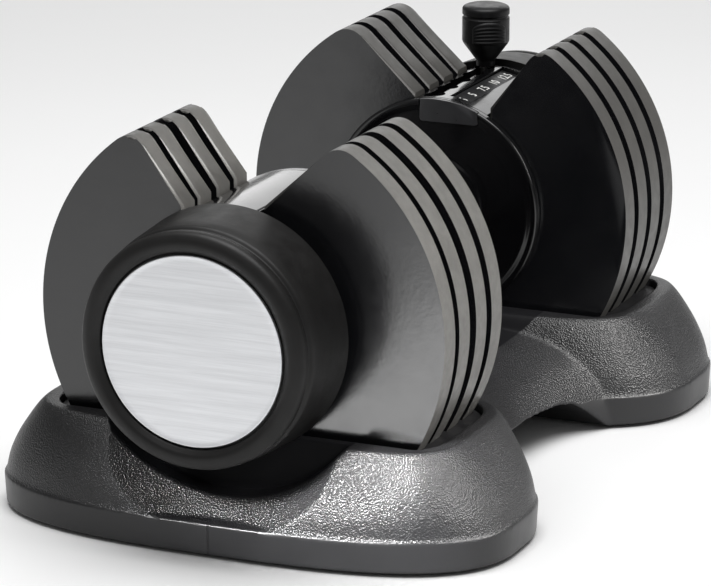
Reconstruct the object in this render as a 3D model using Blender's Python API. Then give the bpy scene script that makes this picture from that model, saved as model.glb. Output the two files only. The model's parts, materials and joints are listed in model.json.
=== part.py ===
"""Adjustable dumbbell resting in its storage cradle, with a sliding selector knob on one head.

X runs along the bar, the head that carries the selector knob is at +X. Z is up, the floor is z = 0.
"""

import math

import bmesh
import bpy
from mathutils import Matrix

MM = 0.001

# driving dimensions, millimetres
AXIS_HEIGHT = 81.0
PLATE_RADIUS = 80.0
PLATE_THICKNESS = 10.0
PLATE_PITCH = 15.0
PLATE_FIRST = 66.2
PLATES_PER_HEAD = 4
PLATE_SLOT_HALF = 16.0
PLATE_FLAT = -73.5
PLATE_CHAMFER = 0.7
NEAR_PLATE_LEAN = 1.1

FLANGE_RADIUS = 44.0
FLANGE_INNER_X = 61.8
FLANGE_OUTER_X = 65.6
TUBE_OUTER = 14.2
TUBE_INNER = 12.6
TUBE_HALF = 65.4
SLEEVE_OUTER = 16.5
SLEEVE_HALF = 60.8

# the slot, the spine and the covers sit beside the bar axis, on the side away from the knob
SPINE_Y = -6.0
SPINE_HALF_WIDTH = 15.0
SPINE_WALL = 1.4
SPINE_BOTTOM = -14.0
SPINE_TOP = 35.7
SPINE_END_X = 136.0
COVER_BOTTOM = 36.0
COVER_END_X = 132.0

CAP_REAR_X = 128.5
CAP_FRONT_X = 163.5
BADGE_RADIUS = 35.2

SLOT_Y = 3.5
STRIP_TILT = 12.0
STRIP_SHIFT = 1.2
STRIP_HALF = 4.3
KNOB_STEP = 13.7
KNOB_STEPS = 4
KNOB_X = 125.6
KNOB_RADIUS = 9.7
KNOB_NECK = 3.9
POCKET_RADIUS = 4.4
SHAFT_RADIUS = 2.3

BAR_Y_IN = -6.1
BAR_Y_OUT = -11.4
BAR_HALF_HEIGHT = 4.0
BAR_INNER_X = -4.0
BAR_OUTER_X = 120.2
GEAR_TEETH = 10
GEAR_PITCH_RADIUS = 5.0

PEDESTAL_X = 98.0
WALL = 3.0
RACK_TOP = 40.0
CAP_RECESS = 60.5
FLANGE_RECESS = 46.5
FLARE_START_X = 136.8
FLARE_SLOPE = 0.95
FLARE_FLOOR = 13.4
RACK_START_X = 63.0
WAIST_TOP = 35.5
ARCH_HALF = 54.0
ARCH_TOP = 15.0
RACK_END_X = 124.2

MATERIALS = {
    "plate_coat": ((0.045, 0.048, 0.054), 0.42, 0.55),
    "gloss_black": ((0.012, 0.012, 0.014), 0.16, 0.0),
    "cap_plastic": ((0.035, 0.031, 0.028), 0.45, 0.0),
    "brushed_badge": ((0.66, 0.67, 0.68), 0.32, 1.0),
    "cradle_plastic": ((0.032, 0.033, 0.036), 0.5, 0.0),
    "rack_plastic": ((0.014, 0.014, 0.015), 0.55, 0.0),
    "knob_plastic": ((0.014, 0.014, 0.016), 0.3, 0.0),
    "strip_black": ((0.008, 0.008, 0.009), 0.4, 0.0),
    "steel": ((0.55, 0.55, 0.54), 0.3, 1.0),
    "zinc_steel": ((0.42, 0.43, 0.44), 0.38, 1.0),
    "grip_rubber": ((0.022, 0.022, 0.023), 0.75, 0.0),
    "foot_rubber": ((0.02, 0.02, 0.02), 0.85, 0.0),
}


def clear_scene():
    for item in list(bpy.data.objects):
        bpy.data.objects.remove(item, do_unlink=True)


def material(slot):
    found = bpy.data.materials.get(slot)
    if found:
        return found
    colour, roughness, metallic = MATERIALS[slot]
    made = bpy.data.materials.new(slot)
    made.use_nodes = True
    shader = made.node_tree.nodes["Principled BSDF"]
    shader.inputs["Base Color"].default_value = (*colour, 1.0)
    shader.inputs["Roughness"].default_value = roughness
    shader.inputs["Metallic"].default_value = metallic
    return made


def make_object(name, bm, slot, smooth=True):
    bmesh.ops.recalc_face_normals(bm, faces=bm.faces)
    for face in bm.faces:
        face.smooth = smooth
    mesh = bpy.data.meshes.new(name)
    bm.to_mesh(mesh)
    bm.free()
    item = bpy.data.objects.new(name, mesh)
    bpy.context.scene.collection.objects.link(item)
    if slot:
        mesh.materials.append(material(slot))
    return item


def add_edge_split_shading(item, angle=35.0):
    for face in item.data.polygons:
        face.use_smooth = True
    edges = bmesh.new()
    edges.from_mesh(item.data)
    for edge in edges.edges:
        if len(edge.link_faces) == 2 and edge.calc_face_angle() > math.radians(angle):
            edge.smooth = False
    edges.to_mesh(item.data)
    edges.free()
    return item


def as_cutter(item):
    item.hide_render = True
    item.display_type = "WIRE"
    return item


def subtract(item, cutter, operation="DIFFERENCE"):
    step = item.modifiers.new("cut", "BOOLEAN")
    step.operation = operation
    step.solver = "EXACT"
    step.object = as_cutter(cutter)
    return item


def prism(name, outline, axis, low, high, slot=None, chamfer=0.0, sharp_within=0.0):
    """Extrude a closed outline along one axis; edges within a radius of its origin stay sharp."""
    place = {
        "x": lambda p, s: (s * MM, p[0] * MM, p[1] * MM),
        "y": lambda p, s: (p[0] * MM, s * MM, p[1] * MM),
        "z": lambda p, s: (p[0] * MM, p[1] * MM, s * MM),
    }[axis]
    bm = bmesh.new()
    first = [bm.verts.new(place(p, low)) for p in outline]
    last = [bm.verts.new(place(p, high)) for p in outline]
    bm.faces.new(first)
    bm.faces.new(list(reversed(last)))
    count = len(outline)
    for i in range(count):
        j = (i + 1) % count
        bm.faces.new((first[i], first[j], last[j], last[i]))
    if chamfer:
        rim = []
        for ring in (first, last):
            for i in range(count):
                reach = min(math.hypot(*outline[i]), math.hypot(*outline[(i + 1) % count]))
                if reach >= sharp_within:
                    rim.append(bm.edges.get((ring[i], ring[(i + 1) % count])))
        bmesh.ops.bevel(bm, geom=rim, offset=chamfer * MM, segments=1, affect="EDGES", clamp_overlap=True)
    return add_edge_split_shading(make_object(name, bm, slot))


def box(name, low, high, slot=None, chamfer=0.0):
    outline = [(low[0], low[1]), (high[0], low[1]), (high[0], high[1]), (low[0], high[1])]
    return prism(name, outline, "z", low[2], high[2], slot, chamfer)


def lathe(name, profile, axis, slot=None, segments=64, centre=(0.0, 0.0, 0.0)):
    """Revolve a closed profile of (station, radius) points around an axis through centre."""
    bm = bmesh.new()
    rings = []
    for station, radius in profile:
        if radius < 1e-6:
            ring = [bm.verts.new(axis_point(axis, station, 0.0, 0.0, centre))]
        else:
            ring = []
            for k in range(segments):
                turn = 2.0 * math.pi * k / segments
                ring.append(bm.verts.new(axis_point(axis, station, radius, turn, centre)))
        rings.append(ring)
    for i, ring in enumerate(rings):
        other = rings[(i + 1) % len(rings)]
        if len(ring) == 1 and len(other) == 1:
            continue
        for k in range(segments):
            n = (k + 1) % segments
            if len(ring) == 1:
                bm.faces.new((ring[0], other[n], other[k]))
            elif len(other) == 1:
                bm.faces.new((ring[k], ring[n], other[0]))
            else:
                bm.faces.new((ring[k], ring[n], other[n], other[k]))
    return add_edge_split_shading(make_object(name, bm, slot))


def axis_point(axis, station, radius, turn, centre):
    a = radius * math.cos(turn)
    b = radius * math.sin(turn)
    if axis == "x":
        point = (station, a, b)
    else:
        point = (a, b, station)
    return tuple((point[i] + centre[i]) * MM for i in range(3))


def arc(cx, cy, radius, start, end, steps):
    """Points along an arc, angles in degrees."""
    points = []
    for k in range(steps + 1):
        angle = math.radians(start + (end - start) * k / steps)
        points.append((cx + radius * math.cos(angle), cy + radius * math.sin(angle)))
    return points


def disc(name, low, high, radius, slot=None, segments=48, axis="x", centre=(0.0, 0.0, 0.0)):
    profile = [(low, 0.0), (low, radius), (high, radius), (high, 0.0)]
    return lathe(name, profile, axis, slot, segments, centre)


def make_stations():
    """Empties that carry the two ends: on the bar axis, and on the floor, one of each turned round."""
    for name, height in (("bar", AXIS_HEIGHT), ("floor", 0.0)):
        for side, turn in (("far", 0.0), ("near", math.pi)):
            station = bpy.data.objects.new(f"{name}_{side}", None)
            station.location = (0.0, 0.0, height * MM)
            station.rotation_euler = (0.0, 0.0, turn)
            bpy.context.scene.collection.objects.link(station)


def place(item, turned=False, station="bar"):
    """Hang a piece on its station: the near one turns it half a turn about Z."""
    item.parent = bpy.data.objects[f"{station}_{'near' if turned else 'far'}"]
    return item


def bake(item):
    """Replace the mesh by the result of its modifiers and drop the modifiers."""
    graph = bpy.context.evaluated_depsgraph_get()
    result = bpy.data.meshes.new_from_object(item.evaluated_get(graph))
    item.modifiers.clear()
    item.data = result
    return add_edge_split_shading(item)


def drop(*items):
    for item in items:
        bpy.data.objects.remove(item, do_unlink=True)


def set_origin(item, point):
    """Move the origin of a piece to a point given in millimetres."""
    shift = [value * MM for value in point]
    item.data.transform(Matrix.Translation([-value for value in shift]))
    item.location = shift
    return item


# ---------------------------------------------------------------- weight plates

def rim_outline(radius, flat):
    """Closed outline of a disc with a flat foot."""
    foot = math.degrees(math.asin(flat / radius))
    return arc(0.0, 0.0, radius, foot, 180.0 - foot, 44)


def plate_outline():
    """Disc with a V mouth, a straight slot and the hook that the selector bar passes under."""
    left = SPINE_Y + PLATE_SLOT_HALF
    right = SPINE_Y - PLATE_SLOT_HALF
    # foot of each V side, and the corner where it meets the rim
    left_foot, left_corner = (left, 44.6), (38.4, 70.2)
    right_foot, right_corner = (right, 41.3), (-42.6, 67.7)
    cut = 5.0
    foot = math.degrees(math.asin(PLATE_FLAT / PLATE_RADIUS))
    start = math.degrees(math.atan2(right_corner[1], right_corner[0])) + cut
    end = math.degrees(math.atan2(left_corner[1], left_corner[0])) - cut
    points = arc(0.0, 0.0, PLATE_RADIUS, start, 180.0 - foot, 22)
    points += arc(0.0, 0.0, PLATE_RADIUS, foot, end, 22)
    inward = point_toward(left_corner, left_foot, 7.5)
    points += curve_between(points[-1], left_corner, inward, 4)
    points.append(left_foot)
    points += arc(left - 5.0, -10.5, 5.0, 0.0, -90.0, 4)
    # hook: a tongue rising from the foot of the slot with an arm over the bar
    points += [(2.0, -15.5), (2.0, 9.0), (-11.3, 9.0), (-11.3, 4.4), (-4.6, 4.4), (-4.6, -15.5)]
    points += arc(right + 5.0, -10.5, 5.0, -90.0, -180.0, 4)
    points.append(right_foot)
    inward = point_toward(right_corner, right_foot, 7.5)
    points.append(inward)
    points += curve_between(inward, right_corner, points[0], 4)[:-1]
    return points


def point_toward(start, end, distance):
    """Point at a distance from start on the way to end."""
    length = math.hypot(end[0] - start[0], end[1] - start[1])
    return tuple(start[i] + (end[i] - start[i]) * distance / length for i in (0, 1))


def curve_between(start, control, end, steps):
    """Rounded corner between two points, leaving the start out."""
    points = []
    for k in range(1, steps + 1):
        t = k / steps
        y = (1 - t) ** 2 * start[0] + 2 * t * (1 - t) * control[0] + t * t * end[0]
        z = (1 - t) ** 2 * start[1] + 2 * t * (1 - t) * control[1] + t * t * end[1]
        points.append((y, z))
    return points


def build_plates():
    outline = plate_outline()
    for turned, side in ((False, "far"), (True, "near")):
        for index in range(PLATES_PER_HEAD):
            low = PLATE_FIRST + index * PLATE_PITCH
            if turned and index == PLATES_PER_HEAD - 2:
                low += NEAR_PLATE_LEAN
            name = f"weight_plate_{side}_{index + 1}"
            plate = prism(name, outline, "x", low, low + PLATE_THICKNESS, "plate_coat", PLATE_CHAMFER, 30.0)
            place(plate, turned)


# ---------------------------------------------------------------- handle unit

def build_grip():
    tube = lathe(
        "grip_tube",
        [(-TUBE_HALF, TUBE_INNER), (-TUBE_HALF, TUBE_OUTER), (TUBE_HALF, TUBE_OUTER), (TUBE_HALF, TUBE_INNER)],
        "x",
        "steel",
        32,
    )
    hole = disc("tube_hole", -20.0, 20.0, 2.2, None, 16, "z")
    subtract(tube, hole)
    bake(tube)
    drop(hole)
    place(tube)
    profile = [(-SLEEVE_HALF, TUBE_OUTER + 0.2), (-SLEEVE_HALF, SLEEVE_OUTER - 0.8)]
    profile.append((-SLEEVE_HALF + 0.8, SLEEVE_OUTER))
    for k in range(5):
        x = -48.0 + k * 24.0
        profile += [(x - 1.4, SLEEVE_OUTER), (x - 0.8, SLEEVE_OUTER - 0.8)]
        profile += [(x + 0.8, SLEEVE_OUTER - 0.8), (x + 1.4, SLEEVE_OUTER)]
    profile += [(SLEEVE_HALF - 0.8, SLEEVE_OUTER), (SLEEVE_HALF, SLEEVE_OUTER - 0.8)]
    profile.append((SLEEVE_HALF, TUBE_OUTER + 0.2))
    place(lathe("grip_sleeve", profile, "x", "grip_rubber", 22))
    place(disc("pinion_pin", -13.8, 13.8, 1.9, "steel", 16, "z"))


def build_flange(turned, side):
    a = FLANGE_INNER_X
    b = FLANGE_OUTER_X
    r = FLANGE_RADIUS
    profile = [(a, 14.5), (a, 19.0), (a + 0.7, 20.0), (a + 0.7, 41.0)]
    profile += [(a, r - 0.6), (a + 0.6, r), (b, r), (b, 14.5)]
    flange = lathe(f"inner_flange_{side}", profile, "x", "gloss_black", 44)
    pocket = box("tab_pocket", (a - 2.0, SPINE_Y - 12.6, 34.4), (a + 2.2, SPINE_Y + 12.6, 60.0))
    subtract(flange, pocket)
    bake(flange)
    drop(pocket)
    place(flange, turned)
    outline = arc(0.0, 0.0, r - 0.1, 81.75, 114.6, 8)
    outline += [(SPINE_Y - 12.3, 34.7), (SPINE_Y + 12.3, 34.7)]
    place(prism(f"flange_tab_{side}", outline, "x", a + 0.2, a + 1.9, "gloss_black", 0.25), turned)
    hole = box("guide_hole", (a - 9.0, -14.0, -4.4), (b + 9.0, -3.7, 4.4))
    guide = disc(f"bar_guide_{side}", a - 1.6, a + 2.4, TUBE_INNER - 0.2, "rack_plastic", 40)
    subtract(guide, hole)
    bake(guide)
    drop(hole)
    place(guide, turned)


def build_spine(turned, side):
    """Channel that carries the head: walls, floor with a slit per plate, end wall with a bolt hole."""
    w = SPINE_HALF_WIDTH
    t = SPINE_WALL
    z0 = SPINE_BOTTOM
    z1 = SPINE_TOP
    half = [(w - 3.0, z0), (w, z0 + 3.0), (w, z1), (w - t, z1), (w - t, z0 + t + 1.8), (w - t - 1.8, z0 + t)]
    outline = [(SPINE_Y + y, z) for y, z in half] + [(SPINE_Y - y, z) for y, z in reversed(half)]
    spine = prism(f"head_spine_{side}", outline, "x", FLANGE_OUTER_X + 0.2, SPINE_END_X, "rack_plastic")
    low = (SPINE_END_X - 2.6, SPINE_Y + 0.5 - w, z0 + 0.5)
    high = (SPINE_END_X - 0.01, SPINE_Y + w - 0.5, z1 - 0.5)
    wall = box("end_wall", low, high)
    subtract(spine, wall, "UNION")
    cutters = [wall]
    for index in range(PLATES_PER_HEAD):
        low = PLATE_FIRST + index * PLATE_PITCH - 0.5
        high = low + PLATE_THICKNESS + 1.0
        if index == PLATES_PER_HEAD - 2:
            high += NEAR_PLATE_LEAN
        cutters.append(box(f"slit_{index}", (low, -11.9, z0 - 2.0), (high, 3.3, z0 + 3.0)))
    cutters.append(disc("bolt_hole", SPINE_END_X - 6.0, SPINE_END_X + 4.0, 2.8, None, 16))
    for cutter in cutters[1:]:
        subtract(spine, cutter)
    bake(spine)
    drop(*cutters)
    place(spine, turned)


def cover_outline():
    low = SPINE_Y - SPINE_HALF_WIDTH
    high = SPINE_Y + SPINE_HALF_WIDTH
    start = math.degrees(math.acos(high / FLANGE_RADIUS))
    end = math.degrees(math.acos(low / FLANGE_RADIUS))
    return arc(0.0, 0.0, FLANGE_RADIUS, start, end, 12) + [(low, COVER_BOTTOM), (high, COVER_BOTTOM)]


def strip_outline(half, low, high):
    """Rectangle square to the crowned top, centred on the scale beside the gate."""
    tilt = math.radians(STRIP_TILT)
    right = STRIP_SHIFT - half
    left = STRIP_SHIFT + half
    corners = ((right, low), (left, low), (left, high), (right, high))
    return [(t * math.cos(tilt) - n * math.sin(tilt), t * math.sin(tilt) + n * math.cos(tilt)) for t, n in corners]


def build_gate_cover():
    """Top cover of the far head: a pocketed gate for the knob and a sunken window for the scale."""
    cover = prism("gate_cover", cover_outline(), "x", FLANGE_OUTER_X + 0.2, COVER_END_X, "gloss_black", 0.3)
    inner = KNOB_X - KNOB_STEPS * KNOB_STEP
    slot = box("gate_slot", (inner - 2.7, SLOT_Y - 2.7, 30.0), (KNOB_X + 2.7, SLOT_Y + 2.7, 60.0))
    cutters = [slot]
    for k in range(KNOB_STEPS + 1):
        centre = (KNOB_X - k * KNOB_STEP, SLOT_Y, 0.0)
        cutters.append(disc(f"pocket_{k}", 40.6, 60.0, POCKET_RADIUS, None, 24, "z", centre))
    cutters.append(prism("window", strip_outline(STRIP_HALF + 0.3, 41.2, 60.0), "x", 70.0, 127.0))
    for cutter in cutters:
        subtract(cover, cutter)
    bake(cover)
    drop(*cutters)
    place(cover)
    place(prism("number_strip", strip_outline(STRIP_HALF, 41.4, 42.4), "x", 70.3, 126.7, "strip_black", 0.15))
    place(prism("top_cover_near", cover_outline(), "x", FLANGE_OUTER_X + 0.2, CAP_REAR_X - 0.3, "gloss_black", 0.3), True)


def build_end_cap(turned, side):
    a = CAP_REAR_X
    b = CAP_FRONT_X
    outer = [(a, 45.4), (a + 0.8, 46.2), (b - 12.0, 44.8), (b - 9.0, 44.2)]
    outer += [(b - 7.6, 42.9), (b - 6.4, 42.9), (b - 5.2, 43.7), (b - 2.6, 43.5)]
    outer += [(b - 0.4, 41.8), (b, 39.6), (b - 0.8, 37.2), (b - 2.9, 36.0)]
    inner = [(b - 2.9, 6.0), (b - 6.4, 6.0), (b - 6.4, 2.9), (SPINE_END_X + 0.3, 2.9)]
    inner += [(SPINE_END_X + 0.3, 7.0), (b - 9.0, 7.0), (b - 9.0, 40.4), (a, 43.0)]
    cap = lathe(f"end_cap_{side}", outer + inner, "x", "cap_plastic", 44)
    if not turned:
        low = (a - 2.0, SPINE_Y - SPINE_HALF_WIDTH - 0.4, COVER_BOTTOM - 0.4)
        high = (COVER_END_X + 0.4, SPINE_Y + SPINE_HALF_WIDTH + 0.4, 60.0)
        notch = box("cap_notch", low, high)
        subtract(cap, notch)
        bake(cap)
        drop(notch)
    place(cap, turned)
    profile = [(b - 2.6, 0.0), (b - 2.6, BADGE_RADIUS), (b - 1.7, BADGE_RADIUS), (b - 1.4, BADGE_RADIUS - 0.3)]
    profile.append((b - 1.4, 0.0))
    place(lathe(f"end_badge_{side}", profile, "x", "brushed_badge", 40), turned)
    profile = [(b - 3.2, 0.0), (b - 3.2, 5.0), (b - 6.1, 5.0), (b - 6.1, 2.5), (SPINE_END_X - 2.4, 2.5)]
    profile.append((SPINE_END_X - 2.4, 0.0))
    place(lathe(f"cap_bolt_{side}", profile, "x", "zinc_steel", 20), turned)
    outline = arc(0.0, 0.0, 42.6, 120.8, 436.9, 44)
    reach = SPINE_HALF_WIDTH + 0.3
    outline += [(SPINE_Y + reach, SPINE_BOTTOM - 0.3), (SPINE_Y - reach, SPINE_BOTTOM - 0.3)]
    place(prism(f"cap_back_plate_{side}", outline, "x", a + 0.6, a + 2.6, "zinc_steel"), turned)


# ---------------------------------------------------------------- selector

def rack_outline():
    """Bar seen from above, with rack teeth on the side that faces the pinion."""
    pitch = 2.0 * math.pi * GEAR_PITCH_RADIUS / GEAR_TEETH
    points = [(BAR_INNER_X, BAR_Y_OUT), (BAR_INNER_X, BAR_Y_IN)]
    count = int((KNOB_STEPS * KNOB_STEP + 2.0) / pitch) + 1
    for k in range(count + 1):
        x = k * pitch
        points += [(x - 0.8, BAR_Y_IN), (x - 0.4, -4.2), (x + 0.4, -4.2), (x + 0.8, BAR_Y_IN)]
    points += [(BAR_OUTER_X, BAR_Y_IN), (BAR_OUTER_X, BAR_Y_OUT)]
    return points


def build_selector():
    outline = rack_outline()
    h = BAR_HALF_HEIGHT
    place(prism("selector_bar_near", outline, "z", -h, h, "steel"), True)
    place(prism("selector_bar_far", outline, "z", -h, h, "steel"))
    inner = GEAR_PITCH_RADIUS - 1.2
    tip = GEAR_PITCH_RADIUS + 0.85
    points = []
    for k in range(GEAR_TEETH):
        middle = 2.0 * math.pi * k / GEAR_TEETH
        for radius, half in ((inner, 0.75), (tip, 0.35), (tip, -0.35), (inner, -0.75)):
            angle = middle - half / radius
            points.append((radius * math.cos(angle), radius * math.sin(angle)))
    pinion = prism("pinion", points, "z", -3.6, 3.6, "steel")
    bore = disc("pinion_bore", -10.0, 10.0, 2.15, None, 24, "z")
    subtract(pinion, bore)
    bake(pinion)
    drop(bore)
    place(pinion)
    # post: an arm beside the bar that carries the socket of the knob shaft
    x = KNOB_X
    post = box("selector_post", (x - 5.0, -13.2, -h), (x + 4.0, -11.7, 16.0), "zinc_steel")
    socket = disc("socket", 12.0, 35.5, 3.7, None, 24, "z", (x, SLOT_Y, 0.0))
    shelf = box("shelf", (x - 3.9, -13.1, 12.2), (x + 3.9, SLOT_Y, 15.8))
    foot = box("foot", (BAR_OUTER_X + 0.3, -11.9, -h), (x + 3.9, BAR_Y_IN, 3.9))
    bore = disc("bore", 13.5, 50.0, 2.6, None, 20, "z", (x, SLOT_Y, 0.0))
    subtract(post, socket, "UNION")
    subtract(post, shelf, "UNION")
    subtract(post, foot, "UNION")
    subtract(post, bore)
    bake(post)
    drop(socket, shelf, foot, bore)
    place(post)
    shaft = place(disc("knob_shaft", 17.0, 64.0, SHAFT_RADIUS, "steel", 20, "z", (x, SLOT_Y, 0.0)))
    base = 44.3
    r = KNOB_RADIUS
    profile = [(base, SHAFT_RADIUS + 0.3), (base, KNOB_NECK), (base + 2.4, KNOB_NECK), (base + 3.2, KNOB_NECK + 0.6)]
    profile += [(base + 9.4, r - 0.6), (base + 10.4, r), (base + 20.4, r), (base + 20.8, r - 0.5)]
    profile += [(base + 21.4, r - 0.5), (base + 21.8, r), (base + 24.2, r), (base + 25.0, r - 0.8)]
    profile += [(base + 25.4, r - 3.0), (base + 25.6, 0.0), (64.4, 0.0), (64.4, SHAFT_RADIUS + 0.3)]
    knob = place(lathe("selector_knob", profile, "z", "knob_plastic", 32, (x, SLOT_Y, 0.0)))
    pads = []
    for label, face in (("front", 211.5), ("back", 31.5)):
        pads.append(build_thumb_pad(f"knob_thumb_pad_{label}", face, base))
    for item in (shaft, knob, *pads):
        set_origin(item, (x, SLOT_Y, base))


def build_thumb_pad(name, face, base):
    """Arched pad wrapped on the knob wall, with horizontal ribs."""
    r = KNOB_RADIUS + 0.15
    half = 42.0
    columns = 6
    rows = 11
    low = base + 10.6
    bm = bmesh.new()
    front = []
    back = []
    for i in range(rows + 1):
        line_front = []
        line_back = []
        for j in range(columns + 1):
            u = -1.0 + 2.0 * j / columns
            top = base + 16.2 + 3.6 * math.sqrt(max(0.0, 1.0 - u * u * 0.98))
            z = low + (top - low) * i / rows
            rib = 0.45 if i % 2 == 1 and abs(u) < 0.85 and i < rows - 2 else 0.0
            angle = math.radians(face + half * u)
            for line, radius in ((line_front, r + 0.7 + rib), (line_back, r)):
                px = KNOB_X + radius * math.cos(angle)
                py = SLOT_Y + radius * math.sin(angle)
                line.append(bm.verts.new((px * MM, py * MM, z * MM)))
        front.append(line_front)
        back.append(line_back)
    for i in range(rows):
        for j in range(columns):
            bm.faces.new((front[i][j], front[i][j + 1], front[i + 1][j + 1], front[i + 1][j]))
            bm.faces.new((back[i][j], back[i + 1][j], back[i + 1][j + 1], back[i][j + 1]))
        for j in (0, columns):
            bm.faces.new((front[i][j], front[i + 1][j], back[i + 1][j], back[i][j]))
    for j in range(columns):
        for i in (0, rows):
            bm.faces.new((front[i][j], back[i][j], back[i][j + 1], front[i][j + 1]))
    return place(add_edge_split_shading(make_object(name, bm, "knob_plastic")))


# ---------------------------------------------------------------- cradle

# height, half length toward the end, half length toward the middle, half width, exponent
PEDESTAL_LEVELS = [
    (1.2, 51.6, 56.0, 101.0, 2.8),
    (12.6, 52.2, 56.6, 101.6, 2.8),
    (13.4, 51.4, 55.8, 100.8, 2.8),
    (20.5, 50.2, 54.8, 98.6, 2.95),
    (28.0, 47.6, 53.0, 94.6, 3.2),
    (34.5, 44.0, 50.6, 90.0, 3.55),
    (39.6, 40.2, 48.0, 86.0, 3.95),
    (42.2, 38.0, 46.2, 83.4, 4.2),
    (43.0, 36.6, 45.0, 82.0, 4.4),
]


def oval(level, inset, segments=48):
    _, out, back, wide, power = level
    points = []
    for k in range(segments):
        turn = 2.0 * math.pi * (k + 0.5) / segments
        c = math.cos(turn)
        s = math.sin(turn)
        reach = (out if c > 0 else back) - inset
        x = PEDESTAL_X + reach * math.copysign(abs(c) ** (2.0 / power), c)
        y = (wide - inset) * math.copysign(abs(s) ** (2.0 / power), s)
        points.append((x, y))
    return points


def loft(name, rings, slot=None):
    bm = bmesh.new()
    loops = [[bm.verts.new([value * MM for value in point]) for point in ring] for ring in rings]
    count = len(loops[0])
    bm.faces.new(list(reversed(loops[0])))
    bm.faces.new(loops[-1])
    for low, high in zip(loops, loops[1:]):
        for i in range(count):
            j = (i + 1) % count
            bm.faces.new((low[i], low[j], high[j], high[i]))
    return add_edge_split_shading(make_object(name, bm, slot), 30.0)


def pedestal_solid(name, turned, inner=False, slot=None):
    rings = []
    levels = PEDESTAL_LEVELS
    if inner:
        levels = [(-5.0, *levels[0][1:]), (9.0, *levels[0][1:])] + levels[3:7]
    for level in levels:
        inset = WALL if inner else 0.0
        drop_height = WALL if inner and level[0] > 34.0 else 0.0
        ring = oval(level, inset, 32 if inner else 48)
        rings.append([(x, y, level[0] - drop_height) for x, y in ring])
    item = loft(name, rings, slot)
    if turned:
        item.data.transform(Matrix.Rotation(math.pi, 4, "Z"))
    return item


def waist_solid(name, inset=0.0, slot=None):
    """Bridge between the pedestals: an hourglass in plan with broad rounded sides."""
    reach = 62.0
    count = 12
    rings = []
    for k in range(count + 1):
        x = -reach + 2.0 * reach * k / count
        far = abs(x) / reach
        wide = 64.0 + 20.0 * far ** 2.0 - inset
        top = WAIST_TOP + 3.0 * far ** 2.0 - inset
        foot = -5.0 if inset else 1.2
        ring = []
        for turn in (0.0, 18.0, 36.0, 52.0, 66.0, 78.0):
            across = 0.36 + 0.64 * math.cos(math.radians(turn)) ** 0.8
            ring.append((x, wide * across, foot + (top - foot) * math.sin(math.radians(turn)) ** 0.9))
        ring.append((x, wide * 0.36, top))
        ring += [(px, -py, pz) for px, py, pz in reversed(ring)]
        rings.append(ring)
    return loft(name, rings, slot)


def arch_solid(name, gap=0.0):
    """Low tunnel that passes under the waist from side to side."""
    half = [(ARCH_HALF + 2.0 + gap, -10.0), (ARCH_HALF + gap, 1.0), (ARCH_HALF - 9.0 + gap, 9.0 + gap * 0.7)]
    half += [(ARCH_HALF - 15.0 + gap * 0.5, 13.4 + gap), (ARCH_HALF - 24.0, ARCH_TOP + gap)]
    outline = half + [(-x, z) for x, z in reversed(half)]
    return prism(name, outline, "y", -120.0, 120.0)


def flare_solid(name, sign, wall=0.0):
    """Bell mouth where the recess under a cap runs out over the end of its pedestal, above the step."""
    start = FLARE_START_X - wall
    end = 156.0
    grown = wall * math.hypot(1.0, FLARE_SLOPE)
    radii = [CAP_RECESS + grown + FLARE_SLOPE * (x - FLARE_START_X) for x in (start, end)]
    profile = [(start * sign, 0.0), (start * sign, radii[0]), (end * sign, radii[1]), (end * sign, 0.0)]
    flare = lathe(name, profile, "x", None, 48, (0.0, 0.0, AXIS_HEIGHT))
    above = box("above", (-170.0, -100.0, FLARE_FLOOR - wall), (170.0, 100.0, 60.0))
    subtract(flare, above, "INTERSECT")
    bake(flare)
    drop(above)
    return flare


def rack_plan(inset, low, high):
    """Plan of the plate rack: an oval cut straight at both ends."""
    level = (0.0, 36.2, 45.7, 79.0, 4.4)
    return [(max(low, min(x, high)), y) for x, y in oval(level, inset, 32)]


def build_cradle():
    shell = pedestal_solid("cradle_shell", False, False, "cradle_plastic")
    other = pedestal_solid("other_pedestal", True)
    bridge = waist_solid("bridge")
    subtract(shell, other, "UNION")
    subtract(shell, bridge, "UNION")
    arch = arch_solid("arch")
    roof = arch_solid("roof", WALL)
    subtract(shell, arch)
    scraps = [other, bridge, arch, roof]
    cavities = []
    for turned, side in ((False, "far"), (True, "near")):
        sign = -1.0 if turned else 1.0
        cavity = pedestal_solid(f"cavity_{side}", turned, True)
        # recess under the end cap at one end, shallower recess under the inner flange at the other
        for low, high, radius in ((CAP_REAR_X - 0.5, 175.0, CAP_RECESS), (40.0, RACK_START_X, FLANGE_RECESS)):
            middle = (0.0, 0.0, AXIS_HEIGHT)
            near_side = low - WALL if low > PEDESTAL_X else low
            thick = disc("thick", near_side * sign, high * sign, radius + WALL, None, 36, "x", middle)
            subtract(cavity, thick)
            recess = disc("recess", low * sign, high * sign, radius, None, 36, "x", middle)
            subtract(shell, recess)
            scraps += [thick, recess]
        mouth = flare_solid("mouth", sign)
        thick_mouth = flare_solid("thick_mouth", sign, WALL)
        subtract(shell, mouth)
        subtract(cavity, thick_mouth)
        scraps += [mouth, thick_mouth]
        plan = rack_plan(2.0, RACK_START_X - 0.4, RACK_END_X + 0.4)
        if turned:
            plan = [(-x, -y) for x, y in plan]
        opening = prism(f"opening_{side}", plan, "z", 31.0, 60.0)
        subtract(shell, opening)
        cavities.append(cavity)
        scraps.append(opening)
    hollow = waist_solid("hollow", WALL)
    for cavity in (*cavities, hollow):
        subtract(cavity, roof)
        subtract(shell, cavity)
    bake(shell)
    drop(*scraps, *cavities, hollow)


def trough(name, low, high, gap):
    """Round of the plates with its flat foot, grown by a gap, at the height of the bar."""
    outline = rim_outline(PLATE_RADIUS + gap, PLATE_FLAT - gap)
    return prism(name, [(y, z + AXIS_HEIGHT) for y, z in outline], "x", low, high)


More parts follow.
